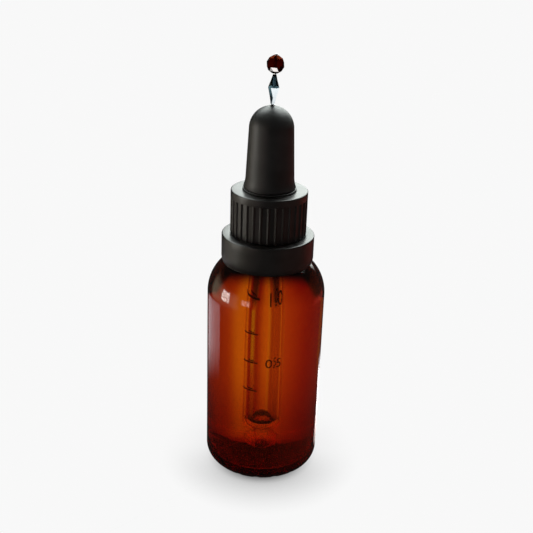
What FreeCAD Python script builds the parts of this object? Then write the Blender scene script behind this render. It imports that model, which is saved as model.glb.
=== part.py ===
"""Amber glass dropper bottle with a beaded finial, as a parametric document.

Every piece is round about the bottle's own axis, so nearly all of them are one
sketched outline turned about Z.  An outline is a list of corners, each written
as two expressions in the sheet's names, radius then height, and an optional
radius for the arc that leads to the next corner.

Millimetres, +Z up, origin on the axis at the plane the bottle stands on.
"""
import FreeCAD, Part
import Sketcher
import math
import os
import re

SHEET = "Sizes"

SIZES = {
    # bottle
    "body_radius": 16.5,
    "glass_wall": 2.2,
    "bottle_height": 80.0,
    "heel_arc": 4.2,
    "punt_radius": 10.0,
    "punt_rise": 1.2,
    "floor_height": 3.4,
    "floor_crown": 0.5,
    "floor_arc": 2.5,
    "shoulder_height": 54.0,
    "shoulder_arc": 12.0,
    "neck_radius": 7.9,
    "neck_bore": 5.4,
    "neck_foot_arc": 1.2,
    "mouth_foot_arc": 1.5,
    "lip_arc": 0.8,
    "bead_radius": 9.3,
    "bead_bottom": 67.9,
    "bead_slope": 0.6,
    "bead_width": 1.0,
    # thread
    "thread_pitch": 3.0,
    "thread_radius": 8.7,
    "thread_root": 1.3,
    "thread_crest": 0.6,
    "thread_start": 74.75,
    "cap_thread_radius": 8.1,
    "thread_overlap": 0.25,
    # contents
    "fill_height": 65.8,
    "well_radius": 3.85,
    "well_bottom": 5.2,
    # tamper ring
    "ring_radius": 12.75,
    "ring_top": 71.35,
    "ring_skirt_wall": 1.1,
    "ring_ledge": 1.2,
    "ring_hole": 9.7,
    "ring_catch_radius": 8.8,
    "ring_catch_height": 66.6,
    "ring_catch_width": 0.9,
    "ring_catch_slope": 0.5,
    "ring_heel_arc": 6.0,
    "ring_underside_slope": 0.75,
    "ring_heel_radius": 12.35,
    "ring_bottom": 63.35,
    "ring_turn_in": 64.9,
    "ring_edge_arc": 0.35,
    "bridge_count": 8.0,
    "bridge_height": 0.12,
    "bridge_width": 0.7,
    "bridge_length": 0.5,
    "bridge_inset": 0.12,
    # screw cap
    "cap_radius": 10.45,
    "cap_top": 83.8,
    "cap_bottom": 71.55,
    "cap_bore": 9.0,
    "cap_roof": 1.4,
    "cap_hole": 6.6,
    "cap_edge_arc": 0.35,
    "rib_count": 32.0,
    "rib_top": 81.8,
    "rib_depth": 0.4,
    "groove_floor": 1.1,
    "groove_mouth": 1.3,
    # sealing washer
    "washer_thickness": 0.7,
    "washer_radius": 8.0,
    "washer_bore": 3.75,
    # rubber bulb
    "bulb_gap": 0.1,
    "flange_radius": 8.6,
    "bulb_collar": 7.3,
    "collar_height": 0.4,
    "collar_arc": 0.8,
    "collar_waist": 6.75,
    "skirt_radius": 7.1,
    "skirt_height": 84.75,
    "skirt_edge": 0.25,
    "skirt_top_radius": 6.55,
    "skirt_top": 87.3,
    "skirt_sweep": 7.8,
    "dome_radius": 5.95,
    "dome_top": 106.4,
    "grip_height": 88.2,
    "bulb_wall": 1.35,
    "boss_bottom": 102.4,
    "boss_radius": 1.6,
    "crown_arc": 3.2,
    "crown_height": 99.4,
    "bulb_draft": 0.3,
    "grip_arc": 1.2,
    # pipette
    "tube_radius": 3.6,
    "tube_bore": 2.98,
    "tube_top": 89.8,
    "flare_radius": 4.1,
    "flare_width": 1.2,
    "flare_arc": 0.4,
    "ball_radius": 3.25,
    "ball_height": 8.9,
    "orifice": 0.9,
    "throat_bore": 1.3,
    "throat_radius": 2.2,
    "throat_height": 11.7,
    "throat_waist": 2.45,
    "throat_low_arc": 1.3,
    "throat_high_arc": 2.4,
    "cone_radius": 2.75,
    "cone_height": 12.4,
    "cone_arc": 3.6,
    "taper_top": 14.9,
    "bore_arc": 3.2,
    # graduations
    "mark_first": 25.9,
    "mark_spacing": 9.0,
    "mark_count": 4.0,
    "mark_width": 0.4,
    "ink_thickness": 0.06,
    "mark_sweep": 75.0,
    "mark_turn": 175.0,
    # finial
    "finial_tilt": 2.4,
    "hole_overrun": 1.0,
    "pin_radius": 0.25,
    "pin_clearance": 0.06,
    "pin_socket": 0.42,
    "pin_depth": 2.9,
    "pin_length": 12.93,
    "pin_head": 0.45,
    "pin_head_height": 0.28,
    "pin_head_arc": 0.2,
    "foot_radius": 0.65,
    "foot_seat": 0.08,
    "foot_height": 0.3,
    "crystal_bottom": 0.42,
    "crystal_middle": 4.6,
    "crystal_top": 8.0,
    "crystal_foot_radius": 0.5,
    "crystal_middle_radius": 1.46,
    "crystal_tip_radius": 0.44,
    "crystal_sides": 6.0,
    "crystal_twist": 30.0,
    "amber_height": 10.5,
    "amber_radius": 2.36,
}

doc = FreeCAD.newDocument("dropper_bottle")
sheet = doc.addObject("Spreadsheet::Sheet", SHEET)


def fill_sheet():
    """One plain number per row, each with its name as the cell's alias."""
    for row, (name, value) in enumerate(SIZES.items(), start=1):
        sheet.set("A%d" % row, name)
        sheet.set("B%d" % row, repr(value))
        sheet.setAlias("B%d" % row, name)
    doc.recompute()


def bound(expression):
    """The expression with the sheet's name put before each of its aliases."""
    def prefix(match):
        word = match.group(0)
        return SHEET + "." + word if word in SIZES else word
    return re.sub(r"[a-z][a-z_]*", prefix, expression)


def value_of(expression):
    """What an expression in the sheet's names comes to now."""
    result = sheet.evalExpression(bound(expression))
    return float(getattr(result, "Value", result))


def vector(x, y, z=0.0):
    return FreeCAD.Vector(x, y, z)


# ---------------------------------------------------------------- sketches

def plane_of(body, role):
    """One of a body's own origin planes or axes."""
    for feature in body.Origin.OriginFeatures:
        if feature.Role == role:
            return feature
    raise ValueError(role)


def new_body(name):
    body = doc.addObject("PartDesign::Body", name)
    body.Label = name
    return body


def new_sketch(body, name, role="XZ_Plane"):
    sketch = body.newObject("Sketcher::SketchObject", name)
    sketch.AttachmentSupport = [(plane_of(body, role), "")]
    sketch.MapMode = "FlatFace"
    return sketch


def arc_between(start, end, radius):
    """The short arc from start to end: a positive radius bulges to the right of the way.

    A sketch keeps its arcs anticlockwise, so a negative radius gives an arc that runs
    from end to start.
    """
    chord = end - start
    half = chord.Length / 2
    left = vector(-chord.y, chord.x) * (1 / chord.Length)
    rise = math.copysign(math.sqrt(radius * radius - half * half), radius)
    centre = (start + end) * 0.5 + left * rise
    first, last = (start, end) if radius > 0 else (end, start)
    angles = [math.atan2(place.y - centre.y, place.x - centre.x) for place in (first, last)]
    circle = Part.Circle(centre, vector(0, 0, 1), abs(radius))
    return Part.ArcOfCircle(circle, angles[0], angles[1])


def draw_outline(sketch, corners):
    """A closed outline.  A corner is (x, y) or (x, y, radius of the arc that follows)."""
    places = [vector(value_of(c[0]), value_of(c[1])) for c in corners]
    count = len(corners)
    forward = []
    for i, corner in enumerate(corners):
        start = places[i]
        end = places[(i + 1) % count]
        radius = value_of(corner[2]) if len(corner) == 3 else 0
        edge = arc_between(start, end, radius) if radius else Part.LineSegment(start, end)
        sketch.addGeometry(edge, False)
        forward.append(radius >= 0)
    for i in range(count):
        following = (i + 1) % count
        leaves = 2 if forward[i] else 1
        enters = 1 if forward[following] else 2
        sketch.addConstraint(Sketcher.Constraint("Coincident", i, leaves, following, enters))
    for i, corner in enumerate(corners):
        hold_corner(sketch, i, 1 if forward[i] else 2, corner)


def hold_corner(sketch, edge, point, corner):
    """Bind one corner's place, and its arc's radius, to the sheet."""
    for kind, axis, expression in (("DistanceX", -2, corner[0]), ("DistanceY", -1, corner[1])):
        place = value_of(expression)
        if abs(place) < 1e-9:
            sketch.addConstraint(Sketcher.Constraint("PointOnObject", edge, point, axis))
            continue
        index = sketch.addConstraint(Sketcher.Constraint(kind, -1, 1, edge, point, place))
        sketch.setExpression("Constraints[%d]" % index, bound(expression))
    if len(corner) == 3:
        radius = abs(value_of(corner[2]))
        index = sketch.addConstraint(Sketcher.Constraint("Radius", edge, radius))
        sketch.setExpression("Constraints[%d]" % index, "abs(" + bound(corner[2]) + ")")


def turned(body, name, corners):
    """Turn an outline a full circle about Z."""
    sketch = new_sketch(body, name + "_outline")
    draw_outline(sketch, corners)
    doc.recompute()
    feature = body.newObject("PartDesign::Revolution", name)
    feature.Profile = sketch
    feature.ReferenceAxis = (sketch, ["V_Axis"])
    feature.Angle = 360
    doc.recompute()
    return feature


def helix_ridge(body, name, corners):
    """One turn of thread, as wide and deep as its four-cornered section."""
    sketch = new_sketch(body, name + "_section")
    draw_outline(sketch, corners)
    doc.recompute()
    ridge = body.newObject("PartDesign::AdditiveHelix", name)
    ridge.Profile = sketch
    ridge.ReferenceAxis = (sketch, ["V_Axis"])
    ridge.Mode = "pitch-height-angle"
    ridge.setExpression("Pitch", bound("thread_pitch"))
    ridge.setExpression("Height", bound("thread_pitch"))
    doc.recompute()
    return ridge


def repeated(body, name, feature, count):
    """The feature, repeated all round Z."""
    pattern = body.newObject("PartDesign::PolarPattern", name)
    pattern.Originals = [feature]
    pattern.Axis = (plane_of(body, "Z_Axis"), [""])
    pattern.Angle = 360
    pattern.setExpression("Occurrences", bound(count))
    body.Tip = pattern
    doc.recompute()
    return pattern


# ---------------------------------------------------------------- glass bottle

# The shoulder's arc is centred here, and the neck's foot is an arc that touches both
# the shoulder and the neck, so where they touch follows from the two radii.
SHOULDER_CENTRE = "(body_radius - shoulder_arc)"
FOOT_REACH = "(neck_radius + neck_foot_arc - %s)" % SHOULDER_CENTRE
FOOT_SPAN = "(shoulder_arc + neck_foot_arc)"
FOOT_LIFT = "sqrt(%s * %s - %s * %s)" % (FOOT_SPAN, FOOT_SPAN, FOOT_REACH, FOOT_REACH)

CAVITY_RADIUS = "(body_radius - glass_wall)"
CAVITY_ARC = "(shoulder_arc - glass_wall)"
MOUTH_REACH = "(neck_bore + mouth_foot_arc - %s)" % SHOULDER_CENTRE
MOUTH_SPAN = "(%s + mouth_foot_arc)" % CAVITY_ARC
MOUTH_LIFT = "sqrt(%s * %s - %s * %s)" % (MOUTH_SPAN, MOUTH_SPAN, MOUTH_REACH, MOUTH_REACH)


def crown_radius(half_width, rise):
    """Radius of a shallow dome of that half width and rise, as an expression."""
    return "((%s * %s + %s * %s) / (2 * %s))" % (half_width, half_width, rise, rise, rise)


def cavity_corners():
    """The inside of the bottle from its mouth's foot down to the middle of its floor."""
    flat = "(%s - floor_arc)" % CAVITY_RADIUS
    return [
        ("neck_bore", "shoulder_height + %s" % MOUTH_LIFT, "mouth_foot_arc"),
        ("%s + %s * %s / %s" % (SHOULDER_CENTRE, MOUTH_REACH, CAVITY_ARC, MOUTH_SPAN),
         "shoulder_height + %s * %s / %s" % (MOUTH_LIFT, CAVITY_ARC, MOUTH_SPAN),
         "0 - %s" % CAVITY_ARC),
        (CAVITY_RADIUS, "shoulder_height"),
        (CAVITY_RADIUS, "floor_height + floor_arc", "0 - floor_arc"),
        (flat, "floor_height", crown_radius(flat, "floor_crown")),
        ("0", "floor_height + floor_crown"),
    ]


def make_bottle():
    body = new_body("bottle")
    outside = [
        ("0", "punt_rise", "0 - %s" % crown_radius("punt_radius", "punt_rise")),
        ("punt_radius", "0"),
        ("body_radius - heel_arc", "0", "heel_arc"),
        ("body_radius", "heel_arc"),
        ("body_radius", "shoulder_height", "shoulder_arc"),
        ("%s + %s * shoulder_arc / %s" % (SHOULDER_CENTRE, FOOT_REACH, FOOT_SPAN),
         "shoulder_height + %s * shoulder_arc / %s" % (FOOT_LIFT, FOOT_SPAN),
         "0 - neck_foot_arc"),
        ("neck_radius", "shoulder_height + %s" % FOOT_LIFT),
        ("neck_radius", "bead_bottom"),
        ("bead_radius", "bead_bottom + bead_slope"),
        ("bead_radius", "bead_bottom + bead_slope + bead_width"),
        ("neck_radius", "bead_bottom + 2 * bead_slope + bead_width"),
        ("neck_radius", "bottle_height - lip_arc", "lip_arc"),
        ("neck_radius - lip_arc", "bottle_height"),
        ("neck_bore + lip_arc", "bottle_height", "lip_arc"),
        ("neck_bore", "bottle_height - lip_arc"),
    ]
    turned(body, "bottle_wall", outside + cavity_corners())
    helix_ridge(body, "bottle_thread", [
        ("neck_radius - thread_overlap", "thread_start - thread_root / 2"),
        ("thread_radius", "thread_start - thread_crest / 2"),
        ("thread_radius", "thread_start + thread_crest / 2"),
        ("neck_radius - thread_overlap", "thread_start + thread_root / 2"),
    ])
    return body


def make_contents():
    """The liquid: the cavity up to the filling level, round a well that the pipette leaves."""
    body = new_body("contents")
    cavity = cavity_corners()
    turned(body, "contents_fill", [
        ("well_radius", "fill_height"),
        ("well_radius", "well_bottom"),
        ("0", "well_bottom"),
        ("0", "floor_height + floor_crown", "0 - " + crown_radius(
            "(%s - floor_arc)" % CAVITY_RADIUS, "floor_crown")),
        ("%s - floor_arc" % CAVITY_RADIUS, "floor_height", "floor_arc"),
        (CAVITY_RADIUS, "floor_height + floor_arc"),
        (CAVITY_RADIUS, "shoulder_height", CAVITY_ARC),
        (cavity[1][0], cavity[1][1], "0 - mouth_foot_arc"),
        ("neck_bore", cavity[0][1]),
        ("neck_bore", "fill_height"),
    ])
    return body


# ---------------------------------------------------------------- closure

def make_tamper_ring():
    """The ring left on the neck: a skirt, a ledge on top and a catch under the neck's bead."""
    body = new_body("tamper_ring")
    inner = "(ring_radius - ring_skirt_wall)"
    turned(body, "ring_shell", [
        ("ring_heel_radius", "ring_bottom", "ring_heel_arc"),
        ("ring_radius", "ring_turn_in"),
        ("ring_radius", "ring_top - ring_edge_arc", "ring_edge_arc"),
        ("ring_radius - ring_edge_arc", "ring_top"),
        ("ring_hole", "ring_top"),
        ("ring_hole", "ring_top - ring_ledge"),
        (inner, "ring_top - ring_ledge"),
        (inner, "ring_catch_height + ring_catch_width"),
        ("ring_catch_radius", "ring_catch_height + ring_catch_width"),
        ("ring_catch_radius", "ring_catch_height"),
        (inner, "ring_catch_height - ring_catch_slope"),
        (inner, "ring_bottom + ring_underside_slope"),
    ])
    sketch = new_sketch(body, "bridge_outline", "XY_Plane")
    sketch.AttachmentOffset = FreeCAD.Placement(
        vector(0, 0, SIZES["ring_top"] - SIZES["bridge_height"]), FreeCAD.Rotation())
    sketch.setExpression("AttachmentOffset.Base.z", bound("ring_top - bridge_height"))
    stub_start = "ring_hole + bridge_inset"
    draw_outline(sketch, [
        (stub_start, "0 - bridge_width / 2"),
        (stub_start + " + bridge_length", "0 - bridge_width / 2"),
        (stub_start + " + bridge_length", "bridge_width / 2"),
        (stub_start, "bridge_width / 2"),
    ])
    doc.recompute()
    pad = body.newObject("PartDesign::Pad", "bridge_stub")
    pad.Profile = sketch
    pad.setExpression("Length", bound("2 * bridge_height"))
    doc.recompute()
    repeated(body, "bridge_stubs", pad, "bridge_count")
    return body


def make_screw_cap():
    """A ribbed cap with a hole in its roof for the bulb and one turn of thread inside."""
    body = new_body("screw_cap")
    turned(body, "cap_shell", [
        ("cap_bore", "cap_bottom"),
        ("cap_radius", "cap_bottom"),
        ("cap_radius", "cap_top - cap_edge_arc", "cap_edge_arc"),
        ("cap_radius - cap_edge_arc", "cap_top"),
        ("cap_hole", "cap_top"),
        ("cap_hole", "cap_top - cap_roof"),
        ("cap_bore", "cap_top - cap_roof"),
    ])
    sketch = new_sketch(body, "groove_outline", "XY_Plane")
    half_pitch = 180.0 / SIZES["rib_count"]
    sketch.AttachmentOffset = FreeCAD.Placement(vector(0, 0, SIZES["rib_top"]),
                                                FreeCAD.Rotation(vector(0, 0, 1), half_pitch))
    sketch.setExpression("AttachmentOffset.Base.z", bound("rib_top"))
    draw_outline(sketch, [
        ("cap_radius - rib_depth", "0 - groove_floor / 2"),
        ("cap_radius + rib_depth", "0 - groove_mouth"),
        ("cap_radius + rib_depth", "groove_mouth"),
        ("cap_radius - rib_depth", "groove_floor / 2"),
    ])
    doc.recompute()
    uncut = body.Shape.Volume
    groove = body.newObject("PartDesign::Pocket", "groove")
    groove.Profile = sketch
    groove.setExpression("Length", bound("rib_top - cap_bottom + rib_depth"))
    doc.recompute()
    assert body.Shape.Volume < uncut, "the rib groove cuts nothing"
    repeated(body, "ribs", groove, "rib_count")
    start = "(thread_start - thread_pitch / 2)"
    helix_ridge(body, "cap_thread", [
        ("cap_thread_radius", start + " - thread_crest / 2"),
        ("cap_bore + thread_overlap", start + " - thread_root / 2"),
        ("cap_bore + thread_overlap", start + " + thread_root / 2"),
        ("cap_thread_radius", start + " + thread_crest / 2"),
    ])
    return body


def make_washer():
    body = new_body("sealing_washer")
    turned(body, "washer_disc", [
        ("washer_bore", "bottle_height"),
        ("washer_radius", "bottle_height"),
        ("washer_radius", "bottle_height + washer_thickness"),
        ("washer_bore", "bottle_height + washer_thickness"),
    ])
    return body


# ---------------------------------------------------------------- dropper

def make_bulb():
    """Rubber bulb: clamped flange, collar above the cap, flared skirt, long dome, apex boss."""
    body = new_body("rubber_bulb")
    flange_bottom = "(bottle_height + washer_thickness)"
    dome_centre = "(dome_top - dome_radius)"
    inner = "(dome_radius - bulb_wall)"
    neck = "(cap_hole - bulb_gap)"
    collar_bottom = "(cap_top + bulb_gap)"
    turned(body, "bulb_wall_shape", [
        ("tube_radius", flange_bottom),
        ("flange_radius", flange_bottom),
        ("flange_radius", "cap_top - cap_roof - bulb_gap"),
        (neck, "cap_top - cap_roof - bulb_gap"),
        (neck, collar_bottom),
        ("bulb_collar", collar_bottom),
        ("bulb_collar", collar_bottom + " + collar_height", "collar_arc"),
        ("collar_waist", "skirt_height - skirt_edge"),
        ("skirt_radius - skirt_edge", "skirt_height - skirt_edge", "skirt_edge"),
        ("skirt_radius", "skirt_height", "0 - skirt_sweep"),
        ("skirt_top_radius", "skirt_top"),
        ("dome_radius", dome_centre, "dome_radius"),
        ("pin_socket", "%s + sqrt(dome_radius * dome_radius - pin_socket * pin_socket)"
         % dome_centre),
        ("pin_socket", "dome_top - pin_depth"),
        ("0", "dome_top - pin_depth"),
        ("0", "boss_bottom"),
        ("boss_radius", "boss_bottom", "0 - crown_arc"),
        (inner, "crown_height"),
        (inner + " + bulb_draft", "grip_height + grip_arc", "0 - grip_arc"),
        ("tube_radius + flare_arc", "grip_height"),
        ("tube_radius", "grip_height"),
    ])
    return body


def make_pipette():
    """Glass tube with a flared top inside the bulb, a drawn-in throat and a ball tip."""
    body = new_body("pipette")
    flare_bottom = "(tube_top - flare_width)"
    waist = "throat_waist"
    turned(body, "pipette_wall", [
        ("orifice", "ball_height - sqrt(ball_radius * ball_radius - orifice * orifice)",
         "ball_radius"),
        (waist, "ball_height + sqrt(ball_radius * ball_radius - %s * %s)" % (waist, waist),
         "0 - throat_low_arc"),
        ("throat_radius", "throat_height", "0 - throat_high_arc"),
        ("cone_radius", "cone_height", "cone_arc"),
        ("tube_radius", "taper_top"),
        ("tube_radius", flare_bottom + " - flare_arc"),
        ("flare_radius", flare_bottom),
        ("flare_radius", "tube_top - flare_arc", "flare_arc"),
        ("flare_radius - flare_arc", "tube_top"),
        ("tube_bore + flare_arc", "tube_top"),
        ("tube_bore", flare_bottom),
        ("tube_bore", "taper_top", "0 - bore_arc"),
        ("throat_bore", "cone_height"),
        ("throat_bore", "ball_height + throat_radius"),
        ("orifice", "ball_height"),
    ])
    return body


def make_graduations():
    """Printed marks: short arcs of ink on the tube, from front left round to the back left."""
    marks = []
    for i in range(int(SIZES["mark_count"])):
        height = "mark_first + %d * mark_spacing - mark_width / 2" % i
        discs = []
        for part_name, radius in (("ink", "tube_radius + ink_thickness"), ("tube", "tube_radius")):
            disc = doc.addObject("Part::Cylinder", "mark_%d_%s" % (i, part_name))
            disc.setExpression("Radius", bound(radius))
            disc.setExpression("Height", bound("mark_width"))
            disc.setExpression("Angle", bound("mark_sweep"))
            disc.setExpression("Placement.Base.z", bound(height))
            disc.Placement.Rotation = FreeCAD.Rotation(vector(0, 0, 1), SIZES["mark_turn"])
            discs.append(disc)
        mark = doc.addObject("Part::Cut", "mark_%d" % i)
        mark.Base, mark.Tool = discs
        marks.append(mark)
    group = doc.addObject("Part::Compound", "graduations")
    group.Label = "graduations"
    group.Links = marks
    return group


# ---------------------------------------------------------------- finial

def stand_on_dome(piece):
    """Put a finial piece, made about its own Z, on the dome's top and lean it towards +X."""
    piece.Placement = FreeCAD.Placement(vector(0, 0, SIZES["dome_top"]),
                                        FreeCAD.Rotation(vector(0, 1, 0), SIZES["finial_tilt"]))
    piece.setExpression("Placement.Base.z", bound("dome_top"))


def make_finial_pin():
    """Headed wire: its lower end sits in the bulb's boss, its head holds the beads on."""
    pin = doc.addObject("Part::Cylinder", "pin_wire")
    pin.setExpression("Radius", bound("pin_radius"))
    pin.setExpression("Height", bound("pin_depth + pin_length"))
    pin.setExpression("Placement.Base.z", bound("pin_clearance - pin_depth"))
    head = doc.addObject("Part::Cylinder", "pin_head_disc")
    head.setExpression("Radius", bound("pin_head"))
    head.setExpression("Height", bound("pin_head_height"))
    head.setExpression("Placement.Base.z", bound("pin_length"))
    whole = doc.addObject("Part::Fuse", "pin_with_head")
    whole.Base = pin
    whole.Tool = head
    doc.recompute()
    rounded = doc.addObject("Part::Fillet", "finial_pin")
    rounded.Label = "finial_pin"
    rounded.Base = whole
    top = SIZES["pin_length"] + SIZES["pin_head_height"]
    edges = [i for i, edge in enumerate(whole.Shape.Edges, start=1)
             if edge.BoundBox.ZMin > top - 0.01 and edge.BoundBox.XLength > SIZES["pin_head"]]
    rounded.Edges = [(i, SIZES["pin_head_arc"], SIZES["pin_head_arc"]) for i in edges]
    stand_on_dome(rounded)
    return rounded


def bored(name, solid, bottom, top):
    """A bead with the pin's running hole through it."""
    hole = doc.addObject("Part::Cylinder", name + "_hole")
    hole.setExpression("Radius", bound("pin_radius + pin_clearance"))
    hole.setExpression("Height", bound("(%s) - (%s) + 2 * hole_overrun" % (top, bottom)))
    hole.setExpression("Placement.Base.z", bound("%s - hole_overrun" % bottom))
    bead = doc.addObject("Part::Cut", name)
    bead.Label = name
    bead.Base = solid
    bead.Tool = hole
    stand_on_dome(bead)
    return bead


def make_finial_foot():
    """Thin metal disc that spreads the beads' seat on the rubber."""
    disc = doc.addObject("Part::Cylinder", "foot_disc")
    disc.setExpression("Radius", bound("foot_radius"))
    disc.setExpression("Height", bound("foot_height"))
    disc.setExpression("Placement.Base.z", bound("foot_seat"))
    return bored("finial_foot", disc, "foot_seat", "foot_seat + foot_height")


def make_crystal_bead():
    """Long faceted drop: six-sided sections, the widest turned half a facet."""
    sections = []
    for i, (radius, height, turn) in enumerate((
            ("crystal_foot_radius", "crystal_bottom", 0),
            ("crystal_middle_radius", "crystal_middle", SIZES["crystal_twist"]),
            ("crystal_tip_radius", "crystal_top", 2 * SIZES["crystal_twist"]))):
        section = doc.addObject("Part::RegularPolygon", "crystal_section_%d" % i)
        section.Polygon = int(SIZES["crystal_sides"])
        section.setExpression("Circumradius", bound(radius))
        section.setExpression("Placement.Base.z", bound(height))
        section.Placement.Rotation = FreeCAD.Rotation(vector(0, 0, 1), turn)
        sections.append(section)
    loft = doc.addObject("Part::Loft", "crystal_body")
    loft.Sections = sections
    loft.Solid = True
    loft.Ruled = True
    return bored("crystal_bead", loft, "crystal_bottom", "crystal_top")


def make_amber_bead():
    ball = doc.addObject("Part::Sphere", "amber_ball")
    ball.setExpression("Radius", bound("amber_radius"))
    ball.setExpression("Placement.Base.z", bound("amber_height"))
    return bored("amber_bead", ball, "amber_height - amber_radius",
                 "amber_height + amber_radius")


# ---------------------------------------------------------------- build and write

def check(pieces):
    """Stop if any feature failed or any piece has no sound solid."""
    for item in doc.Objects:
        for word in ("Invalid", "Error"):
            if word in item.State:
                raise RuntimeError("%s is %s" % (item.Name, item.State))
    for piece in pieces:
        shape = piece.Shape
        if shape.isNull() or not shape.isValid() or not shape.Solids:
            raise RuntimeError("%s has no valid solid" % piece.Label)
        print("%-16s %d solid(s) %10.2f mm3" % (piece.Label, len(shape.Solids), shape.Volume))


def main():
    fill_sheet()
    makers = (make_bottle, make_contents, make_tamper_ring, make_screw_cap, make_washer,
              make_bulb, make_pipette, make_graduations, make_finial_pin, make_finial_foot,
              make_crystal_bead, make_amber_bead)
    pieces = [maker() for maker in makers]
    doc.recompute()
    check(pieces)
    os.makedirs("parts", exist_ok=True)
    for piece in pieces:
        piece.Shape.exportStep("parts/%s.step" % piece.Label)


main()
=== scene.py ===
import math

import bpy
from mathutils import Matrix, Vector


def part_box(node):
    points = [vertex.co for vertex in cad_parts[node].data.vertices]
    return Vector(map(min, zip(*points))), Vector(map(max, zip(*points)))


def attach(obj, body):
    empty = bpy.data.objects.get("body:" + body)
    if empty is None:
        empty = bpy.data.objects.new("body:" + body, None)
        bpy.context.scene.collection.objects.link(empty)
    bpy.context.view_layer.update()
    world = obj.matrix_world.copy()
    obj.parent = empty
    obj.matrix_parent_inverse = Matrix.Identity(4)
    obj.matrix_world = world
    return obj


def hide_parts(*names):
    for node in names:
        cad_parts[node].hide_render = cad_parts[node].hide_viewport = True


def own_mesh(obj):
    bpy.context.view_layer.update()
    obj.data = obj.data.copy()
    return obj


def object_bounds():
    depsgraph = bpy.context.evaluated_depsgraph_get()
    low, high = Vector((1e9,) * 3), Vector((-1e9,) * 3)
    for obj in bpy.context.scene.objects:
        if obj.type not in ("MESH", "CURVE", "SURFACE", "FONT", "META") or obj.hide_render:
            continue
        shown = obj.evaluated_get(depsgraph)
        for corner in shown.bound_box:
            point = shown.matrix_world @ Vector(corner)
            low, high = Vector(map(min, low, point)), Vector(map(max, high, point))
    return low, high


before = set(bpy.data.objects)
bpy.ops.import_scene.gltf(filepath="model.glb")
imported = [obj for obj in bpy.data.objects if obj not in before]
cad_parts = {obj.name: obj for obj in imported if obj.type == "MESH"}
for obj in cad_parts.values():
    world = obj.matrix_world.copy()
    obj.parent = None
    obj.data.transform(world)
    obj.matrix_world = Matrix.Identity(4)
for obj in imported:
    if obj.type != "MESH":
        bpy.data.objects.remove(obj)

# Looks for the amber dropper bottle: turned glass, liquid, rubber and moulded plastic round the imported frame.
# A piece's lengths are in millimetres, and MM turns them into Blender's metres at the last step. Lengths of
# the floor, the camera and what materials' noise moves are in metres.
# The bottle's axis is Z and it stands on the plane z = 0.

CAD_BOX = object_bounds()
MM = 0.001
TURN = 2 * math.pi
FRONT = -math.pi / 2


def low(node, axis):
    """Lowest coordinate of a CAD node along an axis, in millimetres."""
    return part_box(node)[0][axis] / MM


def high(node, axis):
    """Highest coordinate of a CAD node along an axis, in millimetres."""
    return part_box(node)[1][axis] / MM


# ------------------------------------------------------------------ sizes, from the frame

BODY_R = high("bottle", 0)
LIP_Z = high("bottle", 2)
WALL = BODY_R - high("contents", 0)
CAVITY_R = BODY_R - WALL
FILL_Z = high("contents", 2)
RING_R = high("tamper_ring", 0)
RING_BOTTOM = low("tamper_ring", 2)
CAP_R = high("screw_cap", 1)
CAP_BOTTOM = low("screw_cap", 2)
CAP_TOP = high("screw_cap", 2)
BULB_BOTTOM = low("rubber_bulb", 2)
FLANGE_R = high("rubber_bulb", 1)
DOME_TOP = high("rubber_bulb", 2)
TUBE_TOP = high("pipette", 2)
FLARE_R = high("pipette", 1)
WASHER_R = high("sealing_washer", 1)
WASHER_BOTTOM = low("sealing_washer", 2)
WASHER_TOP = high("sealing_washer", 2)

# glass bottle
HEEL_ARC = 4.2
PUNT_R = 10.0
PUNT_RISE = 1.2
STANDING_WIDTH = 1.0
FLOOR_Z = 3.4
FLOOR_CROWN = 0.5
FLOOR_ARC = 2.5
SHOULDER_Z = 54.0
SHOULDER_ARC = 12.0
NECK_R = 7.9
BORE_R = 5.4
NECK_FOOT_ARC = 1.2
MOUTH_FOOT_ARC = 1.5
LIP_ARC = 0.8
BEAD_R = 9.3
BEAD_Z = 67.9
BEAD_SLOPE = 0.6
BEAD_WIDTH = 1.0
BEAD_INSET = 0.3
BEAD_EDGE = 0.25
BEAD_DROP = 0.1
BEAD_ARC = 0.35

# the thread, on the neck and in the cap. A wall's points lie within NEAR of its radius.
THREAD_PITCH = 3.0
THREAD_Z = 74.75
THREAD_DEPTH = 0.8
THREAD_ROOT = 1.3
THREAD_CREST = 0.6
THREAD_LENGTH = 1.04 * TURN
THREAD_FADE = 0.35
THREAD_FROM = 70.2
NEAR = 0.02

# grips moulded under the heel
GRIPS = 18
GRIP_TURN = math.radians(6)
GRIP_WIDTH = 0.85
GRIP_FLANK = 0.7 * GRIP_WIDTH
GRIP_FROM = 11.6
GRIP_TO = 15.7
GRIP_FADE = 0.8
GRIP_DEPTH = 0.45
GRIP_TOP = 1.4

# the liquid's level
LEVEL_WIDTH = 0.9
LEVEL_CLIMB = 0.45
LEVEL_ARC = 1.6
SKIN = 0.06

# pipette
TUBE_R = 3.6
TUBE_BORE = 2.98
TUBE_EDGE = 0.4
FLARE_DEPTH = 1.2
BALL_R = 3.25
BALL_Z = 8.9
ORIFICE = 0.9
THROAT_BORE = 1.3
THROAT_R = 2.2
THROAT_Z = 11.7
WAIST_R = 2.45
WAIST_ARC = 1.3
CONE_R = 2.75
CONE_Z = 12.4
CONE_FOOT_ARC = 2.4
CONE_ARC = 3.6
BORE_ARC = 3.2
TAPER_Z = 14.9

# the air in the pipette ends in a round bottom
AIR_Z = 13.8
AIR_BULGE = 2.2
AIR_ARC = 3.3

# printed scale
MARK_FIRST = 25.9
MARK_STEP = 9.0
MARKS = 4
MARK_WIDTH = 0.42
MARK_SPAN = (FRONT - math.radians(95), FRONT - math.radians(20))
MARK_STEPS = 24
INK = 0.05
INK_GAP = 0.004
NUMBER_START = FRONT + math.radians(4)
NUMBER_SIZE = 4.0
NUMBER_SQUEEZE = 0.82
NUMBER_LIFT = 0.026
NUMBER_HALF_DEPTH = 0.02

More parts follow.
